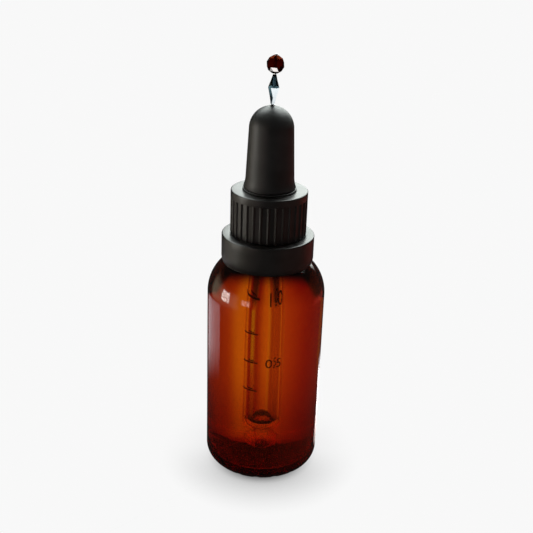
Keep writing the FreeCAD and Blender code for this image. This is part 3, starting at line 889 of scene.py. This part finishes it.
def make_bulb():
    """The bulb, from its flange up round the dome to the pin's hole, then down its inside to the grip."""
    outside = [
        (GRIP_R, BULB_BOTTOM),
        (FLANGE_R - FLANGE_EDGE, BULB_BOTTOM, FLANGE_EDGE),
        (FLANGE_R, BULB_BOTTOM + FLANGE_EDGE),
        (FLANGE_R, FLANGE_TOP - FLANGE_EDGE, FLANGE_EDGE),
        (FLANGE_R - FLANGE_EDGE, FLANGE_TOP),
        (BULB_NECK_R, FLANGE_TOP),
        (BULB_NECK_R, COLLAR_BOTTOM),
        (COLLAR_R - COLLAR_EDGE, COLLAR_BOTTOM, COLLAR_EDGE),
        (COLLAR_R, COLLAR_BOTTOM + COLLAR_EDGE),
        (COLLAR_R, COLLAR_TOP - COLLAR_EDGE, COLLAR_EDGE),
        (COLLAR_R - COLLAR_EDGE, COLLAR_TOP),
        (COLLAR_WAIST, COLLAR_TOP + 0.04),
        (COLLAR_WAIST, SKIRT_Z - SKIRT_EDGE - 0.02),
        (SKIRT_R - SKIRT_EDGE, SKIRT_Z - SKIRT_EDGE, SKIRT_EDGE),
        (SKIRT_R, SKIRT_Z, -SKIRT_SWEEP),
        (SKIRT_TOP_R, SKIRT_TOP_Z),
        (DOME_R, DOME_Z, DOME_R),
        (PIN_HOLE_R, DOME_Z + math.sqrt(DOME_R ** 2 - PIN_HOLE_R ** 2)),
        (PIN_HOLE_R, PIN_HOLE_Z),
        (0, PIN_HOLE_Z),
    ]
    inside = [
        (0, BOSS_Z),
        (BOSS_R, BOSS_Z, -BOSS_ARC),
        (BULB_INNER_R, BULB_INNER_TOP),
        (BULB_INNER_R + 0.3, GRIP_Z + 1.2, -1.2),
        (TUBE_R + 0.4, GRIP_Z),
        (GRIP_R, GRIP_Z),
    ]
    points = outline(outside, step=0.12, straight=1.2) + outline(inside, step=0.2, straight=1.5)
    piece = lathe("rubber_bulb_teat", points[:-1], BLACK_RUBBER, 160, closed=True)
    dress(piece, "dropper_body", "black_rubber", "rubber_bulb")
    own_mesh(piece)
    return piece


# ------------------------------------------------------------------ finial

def lean(piece):
    """Stand a finial piece, made about its own Z, on the dome and lean it towards +X."""
    place = Matrix.Translation((0, 0, DOME_TOP * MM)) @ Matrix.Rotation(FINIAL_LEAN, 4, "Y")
    piece.data.transform(place)
    return piece


def make_wire():
    points = outline([
        (0, WIRE_END),
        (WIRE_R - 0.08, WIRE_END, WIRE_TIP),
        (WIRE_R, WIRE_END + WIRE_TIP),
        (WIRE_R, HEAD_Z),
        (HEAD_NECK, HEAD_Z, HEAD_EDGE),
        (HEAD_R, HEAD_Z + HEAD_EDGE, HEAD_ARC),
        (0, HEAD_Z + HEAD_RISE),
    ], step=0.04, straight=1.0)
    piece = lean(lathe("finial_wire", points, STEEL, 32))
    return dress(piece, "finial_body", "steel", "finial_pin")


def make_foot():
    points = outline([
        (0.31, 0.08), (0.53, 0.08, 0.12), (0.65, 0.2, 0.18), (0.5, 0.36), (0.31, 0.38),
    ], step=0.04)
    piece = lean(lathe("finial_foot_disc", points, STEEL, 48, closed=True))
    return dress(piece, "finial_body", "steel", "finial_foot")


def circle(sides, radius, z, half_turns=0):
    """Corners of a level polygon, turned by so many half sides."""
    return [(radius * math.cos(TURN * (k + 0.5 * half_turns) / sides),
             radius * math.sin(TURN * (k + 0.5 * half_turns) / sides), z) for k in range(sides)]


def cut_bead(name, sides, rings, material):
    """A bored bead of facets: rings of corners (height, radius), each turned half a side from the last."""
    vertices, faces = [], []
    for i, (z, r) in enumerate(rings):
        vertices += circle(sides, r, z, i)
    top = sides * (len(rings) - 1)
    low_bore = top + sides
    high_bore = low_bore + sides
    vertices += circle(sides, BEAD_BORE, rings[0][0])
    vertices += circle(sides, BEAD_BORE, rings[-1][0], len(rings) - 1)
    for i in range(len(rings) - 1):
        a, b = sides * i, sides * (i + 1)
        for k in range(sides):
            following = (k + 1) % sides
            faces.append((a + k, a + following, b + k))
            faces.append((a + following, b + following, b + k))
    for k in range(sides):
        following = (k + 1) % sides
        faces.append((k, low_bore + k, low_bore + following, following))
        faces.append((top + k, top + following, high_bore + following, high_bore + k))
        faces.append((low_bore + k, high_bore + k, high_bore + following, low_bore + following))
    return lean(build(name, vertices, faces, material, smooth_angle=1))


def make_crystal():
    """A long cut drop."""
    piece = cut_bead("crystal_bead_cut", CRYSTAL_SIDES, CRYSTAL_RINGS, CRYSTAL)
    return dress(piece, "crystal_body", "crystal", "crystal_bead")


def make_amber():
    """A round bead cut with bands of flat facets."""
    rings = [(AMBER_Z + AMBER_R * math.sin(math.radians(tilt)), AMBER_R * math.cos(math.radians(tilt)))
             for tilt in AMBER_TILTS]
    piece = cut_bead("amber_bead_cut", AMBER_SIDES, rings, AMBER_CRYSTAL)
    return dress(piece, "amber_body", "amber_crystal", "amber_bead")


# ------------------------------------------------------------------ shader arithmetic

def math_node(tree, operation, *values):
    return add(tree, "ShaderNodeMath", dict(enumerate(values)), operation=operation).outputs["Value"]


def product(tree, first, second):
    return math_node(tree, "MULTIPLY", first, second)


def soft_step(tree, value, start, end):
    """0 before start and 1 past end, smoothly. start may be the larger one."""
    node = add(tree, "ShaderNodeMapRange", {"Value": value, "From Min": start, "From Max": end},
               interpolation_type="SMOOTHSTEP")
    return node.outputs["Result"]


def window(tree, value, span, soft):
    """1 inside a span with soft edges, and 0 outside."""
    start, end = span
    return product(tree, soft_step(tree, value, start - soft, start + soft),
                   soft_step(tree, value, end + soft, end - soft))


def panel(tree, turn, rise, turn_span, rise_span, soft):
    """1 inside a soft-edged window of bearings and heights, all in degrees, and 0 outside."""
    return product(tree, window(tree, turn, turn_span, soft), window(tree, rise, rise_span, soft))


def scaled(tree, colour, strength):
    node = add(tree, "ShaderNodeVectorMath", {0: colour, "Scale": strength}, operation="SCALE")
    return node.outputs["Vector"]


def summed(tree, vectors):
    total = vectors[0]
    for vector in vectors[1:]:
        total = add(tree, "ShaderNodeVectorMath", {0: total, 1: vector}, operation="ADD").outputs["Vector"]
    return total


def choice(tree, factor, without, chosen):
    """One colour where factor is 0 and another where it is 1."""
    node = add(tree, "ShaderNodeMix", {"Factor": factor, 4: without, 5: chosen}, data_type="VECTOR")
    return node.outputs[1]


# ------------------------------------------------------------------ floor, in metres

FLOOR_SIZE = 16
FLOOR_LEVEL = 0.94
SHADOW_REACH = 0.0145
SHADOW_SPREAD = 0.85
SHADOW_FADE = (0.004, -0.018)
SHADOW_BEHIND = 0.25


def make_floor():
    """Pale floor, with a shadow near the bottle that fades behind it.

    Glass and gloss look past it to the studio, as they do over a light table.
    """
    material, tree = node_material("studio_floor")
    paper = add(tree, "ShaderNodeBsdfDiffuse", {
        "Color": colour_noise(tree, 14.0, (0.795, 0.795, 0.795), (0.805, 0.805, 0.805))})
    near = add(tree, "ShaderNodeAmbientOcclusion", {"Distance": SHADOW_REACH}, samples=16)
    open_sky = math_node(tree, "POWER", near.outputs["AO"], SHADOW_SPREAD)
    dark = math_node(tree, "SUBTRACT", 1, open_sky)
    spot = add(tree, "ShaderNodeNewGeometry").outputs["Position"]
    depth = add(tree, "ShaderNodeSeparateXYZ", {"Vector": spot}).outputs["Y"]
    forward = math_node(tree, "MULTIPLY_ADD", soft_step(tree, depth, *SHADOW_FADE), 1 - SHADOW_BEHIND,
                        SHADOW_BEHIND)
    level = math_node(tree, "MULTIPLY_ADD", product(tree, dark, forward), -FLOOR_LEVEL, FLOOR_LEVEL)
    lit = add(tree, "ShaderNodeEmission", {"Strength": level})
    path = add(tree, "ShaderNodeLightPath")
    surface(tree, add(tree, "ShaderNodeMixShader", {0: path.outputs["Is Camera Ray"],
                                                    1: paper.outputs["BSDF"],
                                                    2: lit.outputs["Emission"]}), "Shader")
    bpy.ops.mesh.primitive_plane_add(size=1)
    floor = bpy.context.object
    floor.name = "studio_floor"
    floor.scale = (FLOOR_SIZE, FLOOR_SIZE, 1)
    floor.data.materials.append(material)
    floor.visible_glossy = False
    floor.visible_transmission = False


# ------------------------------------------------------------------ studio air
# Bearings run from straight behind the bottle, positive to the right. Bearings and heights are in degrees.

# Soft panels that gloss mirrors: span of bearings, span of heights, softness of the edge, strength,
# colour, and how far leaves break it up.
PANELS = (
    ((-107, -88), (-13, 8), 1.5, 13.0, (1.0, 0.98, 0.92), 0.75),
    ((-150, -134), (-7, 5), 2.5, 5.5, (1.0, 0.76, 0.7), 0.7),
    ((-125, -55), (-20, 10), 8, 0.75, (1.0, 0.86, 0.6), 0.0),
    ((-80, -28), (-29, -24), 1.6, 1.0, (1.0, 0.93, 1.0), 0.2),
    ((-6, 34), (8, 30), 6, 6.5, (0.93, 1.0, 0.96), 0.0),
    ((38, 75), (-22.5, -14), 1.2, 0.45, (1.0, 0.1, 0.07), 0.0),
    ((-50, 58), (37, 60), 6, 12.0, (0.93, 1.0, 0.97), 0.0),
    ((-30, 35), (60, 69), 4, 9.0, (0.93, 1.0, 0.97), 0.0),
    ((50, 150), (-45, 8), 15, 0.1, (1.0, 0.2, 0.1), 0.0),
    ((8, 30), (-34, -29), 1.0, 4.5, (1.0, 0.95, 0.97), 0.85),
)
DIM_ROOM = (0.028, 0.027, 0.026)
LEAF_SCALE = 22.0
LEAF_EDGE = (0.53, 0.47)

# What amber glass shows through itself: bearing, red share and green share.
THROUGH = (
    (-180, 0.55, 0.5), (-150, 0.9, 0.85), (-115, 0.7, 0.6), (-90, 0.6, 0.4), (-72, 0.62, 0.35),
    (-58, 0.42, 0.05), (-48, 0.4, 0.03), (-40, 0.42, 0.04), (-33, 0.46, 0.06), (-27, 0.54, 0.13),
    (-21, 0.63, 0.24), (-16, 0.7, 0.34), (-11, 0.78, 0.46), (-5, 0.95, 0.75), (0, 1.05, 0.9),
    (6, 1.05, 0.92), (11, 1.08, 1.05), (16, 1.1, 1.4), (20, 1.0, 1.25), (24, 0.82, 0.7),
    (29, 0.66, 0.34), (36, 0.6, 0.3), (45, 0.57, 0.3), (55, 0.6, 0.3), (66, 0.62, 0.4),
    (80, 0.62, 0.3), (105, 0.62, 0.3), (150, 0.9, 0.85), (180, 0.55, 0.5),
)
THROUGH_LEVEL = 1.5
BLUE_SHARE = 0.6
SIDE_BEARINGS = (44, 60)
GROUND = (-55, -41)
CORNER = (-30, -37)
CORNER_DARKNESS = 0.85
CEILING = (30, 17)
MIRRORED_CEILING = (5, -5)
GLOW_COLOUR = (1.0, 0.16, 0.18)
GLOW_BEARINGS = (5, 45)
GLOW_MIDDLE = 0.33
GLOW_ACROSS = 0.7
GLOW_SIDES = 2.6
EDGE_COLOUR = (0.12, 0.85, 0.15)
EDGE_PANEL = ((-92, -62), (-29.5, -18), 1.2)

# What clear glass sees, and the light on everything that isn't glass.
ROOM_COLOUR = (0.93, 0.94, 0.95)
ROOM_CEILING = (20, 4)
ROOM_ABOVE = 0.1
CLEAR_CROSSINGS = 4.5
AIR_LEVEL = 1.175


def direction(tree):
    """A ray's bearing and height."""
    place = add(tree, "ShaderNodeTexCoord")
    parts = add(tree, "ShaderNodeSeparateXYZ", {"Vector": place.outputs["Generated"]})
    turn = math_node(tree, "ARCTAN2", parts.outputs["X"], parts.outputs["Y"])
    rise = math_node(tree, "ARCSINE", parts.outputs["Z"])
    return product(tree, turn, 180 / math.pi), product(tree, rise, 180 / math.pi)


def seen_in_gloss(tree, turn, rise):
    """A dim room with the soft panels in it."""
    place = add(tree, "ShaderNodeTexCoord")
    leaves = add(tree, "ShaderNodeTexNoise", {"Vector": place.outputs["Generated"], "Scale": LEAF_SCALE,
                                              "Detail": 3.0, "Roughness": 0.6})
    gaps = soft_step(tree, leaves.outputs["Fac"], *LEAF_EDGE)
    lights = [DIM_ROOM]
    for turn_span, rise_span, soft, strength, colour, broken in PANELS:
        inside = panel(tree, turn, rise, turn_span, rise_span, soft)
        if broken:
            inside = product(tree, inside, math_node(tree, "MULTIPLY_ADD", gaps, broken, 1 - broken))
        lights.append(scaled(tree, colour, product(tree, inside, strength)))
    return summed(tree, lights)


def amber_ramp(tree, turn):
    """The colours of THROUGH, blended round the bottle."""
    ramp = add(tree, "ShaderNodeValToRGB", {"Fac": math_node(tree, "MULTIPLY_ADD", turn, 1 / 360, 0.5)})
    ramp.color_ramp.interpolation = "B_SPLINE"
    stops = ramp.color_ramp.elements
    for degrees, _, _ in THROUGH[1:-1]:
        stops.new(degrees / 360 + 0.5)
    for stop, (_, red, green) in zip(stops, THROUGH):
        stop.color = (red / THROUGH_LEVEL, green / THROUGH_LEVEL, BLUE_SHARE * green / THROUGH_LEVEL, 1)
    return ramp.outputs["Color"]


def seen_through_amber(tree, turn, rise, path):
    """The ramp, dark below and above, with a green edge low on the left.

    Light that the base has mirrored comes from above, and only a red glow is left of it.
    """
    sideways = math_node(tree, "ABSOLUTE", turn)
    aside = soft_step(tree, sideways, *SIDE_BEARINGS)
    low_corner = product(tree, aside, soft_step(tree, rise, *CORNER))
    floorward = product(tree, soft_step(tree, rise, *GROUND),
                        math_node(tree, "MULTIPLY_ADD", low_corner, -CORNER_DARKNESS, 1))
    mirrored_inside = math_node(tree, "GREATER_THAN", path.outputs["Glossy Depth"], 0.5)
    straight = math_node(tree, "SUBTRACT", 1, mirrored_inside)
    ceiling = math_node(tree, "ADD",
                        product(tree, mirrored_inside, soft_step(tree, rise, *MIRRORED_CEILING)),
                        product(tree, straight, soft_step(tree, rise, *CEILING)))
    level = product(tree, floorward, ceiling)
    ramp = scaled(tree, amber_ramp(tree, turn), product(tree, level, THROUGH_LEVEL))

    glow = math_node(tree, "ADD", math_node(tree, "MULTIPLY_ADD", aside, GLOW_SIDES, GLOW_MIDDLE),
                     product(tree, soft_step(tree, sideways, *GLOW_BEARINGS), GLOW_ACROSS))
    glow = product(tree, product(tree, glow, mirrored_inside),
                   soft_step(tree, rise, *reversed(MIRRORED_CEILING)))
    return summed(tree, [ramp, scaled(tree, GLOW_COLOUR, glow),
                         scaled(tree, EDGE_COLOUR, panel(tree, turn, rise, *EDGE_PANEL))])


def make_world():
    """The studio round the bottle: even light for the floor, soft panels for gloss, depth for glass."""
    world = bpy.data.worlds.new("studio_air")
    bpy.context.scene.world = world
    world.use_nodes = True
    world.cycles.sampling_method = "NONE"
    tree = world.node_tree
    tree.nodes.clear()
    turn, rise = direction(tree)
    path = add(tree, "ShaderNodeLightPath")

    # a ray that has crossed only a few surfaces has met clear glass alone, and sees the pale room
    few = math_node(tree, "LESS_THAN", path.outputs["Transmission Depth"], CLEAR_CROSSINGS)
    room = math_node(tree, "MULTIPLY_ADD", soft_step(tree, rise, *ROOM_CEILING), 1 - ROOM_ABOVE, ROOM_ABOVE)
    through = choice(tree, few, seen_through_amber(tree, turn, rise, path),
                     scaled(tree, ROOM_COLOUR, room))

    # the camera sees the floor's own white past its edge, so no horizon shows
    air = math_node(tree, "MULTIPLY_ADD", path.outputs["Is Camera Ray"], FLOOR_LEVEL - AIR_LEVEL, AIR_LEVEL)
    reflected = choice(tree, path.outputs["Is Glossy Ray"], air, seen_in_gloss(tree, turn, rise))

    # a ray through glass counts as glossy too, so what glass shows through itself is chosen last
    colour = choice(tree, path.outputs["Is Transmission Ray"], reflected, through)
    shader = add(tree, "ShaderNodeBackground", {"Color": colour, "Strength": 1.0})
    end = add(tree, "ShaderNodeOutputWorld")
    tree.links.new(shader.outputs["Background"], end.inputs["Surface"])


# ------------------------------------------------------------------ camera

LENS = 56.14
SENSOR = 36.0
VIEW_DISTANCE = 0.23231
VIEW_ELEVATION = math.radians(22.64)
VIEW_ROLL = math.radians(1.95)
VIEW_AIM = 0.5119
VIEW_ASIDE = -0.0001


def make_camera():
    """On the printed scale's side, looking down at the bottle, rolled a little."""
    height = CAD_BOX[1][2] - CAD_BOX[0][2]
    aim = Vector((VIEW_ASIDE, 0, CAD_BOX[0][2] + VIEW_AIM * height))
    toward = Vector((0, math.cos(VIEW_ELEVATION), -math.sin(VIEW_ELEVATION)))
    up = Vector((0, math.sin(VIEW_ELEVATION), math.cos(VIEW_ELEVATION)))
    right = Vector((1, 0, 0))
    across = right * math.cos(VIEW_ROLL) + up * math.sin(VIEW_ROLL)
    upward = up * math.cos(VIEW_ROLL) - right * math.sin(VIEW_ROLL)
    data = bpy.data.cameras.new("camera")
    data.lens = LENS
    data.sensor_width = SENSOR
    data.clip_start = 0.01
    camera = bpy.data.objects.new("camera", data)
    basis = Matrix((across, upward, -toward)).transposed().to_4x4()
    camera.matrix_world = Matrix.Translation(aim - toward * VIEW_DISTANCE) @ basis
    bpy.context.scene.collection.objects.link(camera)
    bpy.context.scene.camera = camera


def set_light_paths():
    """Enough bounces for light to cross both walls, the liquid and the tube."""
    cycles = bpy.context.scene.cycles
    cycles.max_bounces = 32
    cycles.transmission_bounces = 32
    cycles.glossy_bounces = 12
    cycles.diffuse_bounces = 3
    cycles.volume_bounces = 0
    cycles.caustics_refractive = False
    cycles.caustics_reflective = False
    cycles.transparent_max_bounces = 16
    cycles.blur_glossy = 0.0
    cycles.sample_clamp_indirect = 6.0
    cycles.use_denoising = True
    view = bpy.context.scene.view_settings
    view.view_transform = "Standard"
    view.look = "None"


def main():
    make_camera()
    make_floor()
    make_world()
    set_light_paths()
    make_bottle()
    make_liquid()
    make_pipette()
    make_liquid_well()
    make_marks()
    make_number("0.5", MARK_FIRST + MARK_STEP)
    make_number("1.0", MARK_FIRST + 3 * MARK_STEP)
    make_ring()
    make_cap()
    make_washer()
    make_bulb()
    make_wire()
    make_foot()
    make_crystal()
    make_amber()


main()
